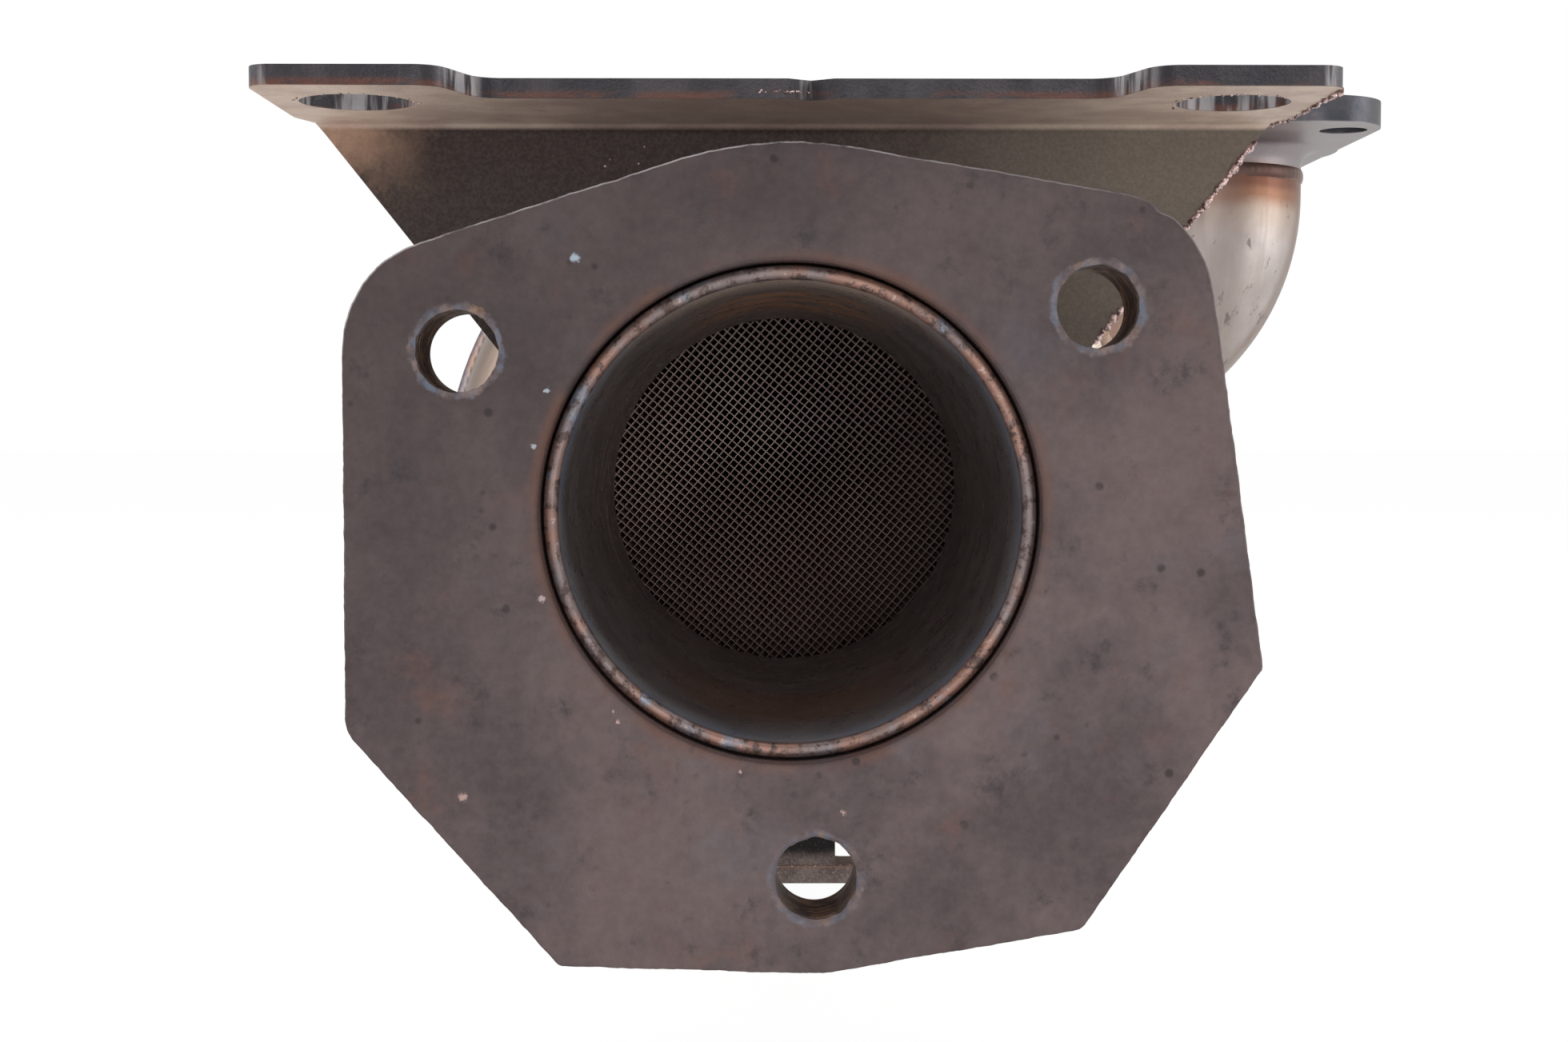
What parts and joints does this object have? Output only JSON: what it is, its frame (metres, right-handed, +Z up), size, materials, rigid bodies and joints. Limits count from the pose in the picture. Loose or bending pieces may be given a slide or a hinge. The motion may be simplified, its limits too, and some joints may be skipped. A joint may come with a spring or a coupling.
{
  "type": "catalytic converter",
  "caption": "Close-coupled catalytic converter: bolted outlet flange, round can with a square-cell honeycomb, side-entry elbow with a bolted inlet flange, and bent-plate brackets.",
  "frame": {"origin": "centre of the outlet flange's mating face", "axes": "+Y upstream along the can's axis, +X to the right seen from the outlet end, +Z up and out of the inlet flange"},
  "size_m": [0.2188, 0.3419, 0.158],
  "materials": {
    "flame_cut_steel": "dark oxidised mill scale, flame-cut edges",
    "bracket_steel": "grey-brown oxidised plate",
    "pipe_steel": "heat-tinted stainless tube",
    "stainless": "bright rolled stainless with heat tint at the welds",
    "inlet_steel": "grey machined steel",
    "weld_metal": "rippled weld bead with heat tint",
    "honeycomb_ceramic": "matt brown washcoat",
    "fibre_mat": "matt compressed fibre",
    "wire_mesh": "knitted wire"
  },
  "bodies": {
    "root": {"outlet_flange": "flame_cut_steel", "outlet_pipe": "pipe_steel", "outlet_flange_weld": "weld_metal", "outlet_cone": "stainless", "outlet_cone_neck_weld": "weld_metal", "outlet_cone_rim_weld": "weld_metal", "can_shell": "stainless", "monolith": "honeycomb_ceramic", "support_mat": "fibre_mat", "outlet_mat_seal": "wire_mesh", "inlet_mat_seal": "wire_mesh", "inlet_housing_front": "stainless", "inlet_housing_rear": "stainless", "housing_seam_weld": "weld_metal", "housing_rim_weld": "weld_metal", "sensor_boss": "inlet_steel", "sensor_boss_weld": "weld_metal", "inlet_elbow": "stainless", "elbow_neck_weld": "weld_metal", "inlet_flange": "inlet_steel", "inlet_flange_weld": "weld_metal", "upper_bracket": "bracket_steel", "upper_bracket_weld": "weld_metal", "lower_bracket_web": "bracket_steel", "lower_bracket_foot": "bracket_steel", "lower_bracket_foot_weld": "weld_metal", "lower_bracket_saddle_weld": "weld_metal"}
  },
  "joints": []
}
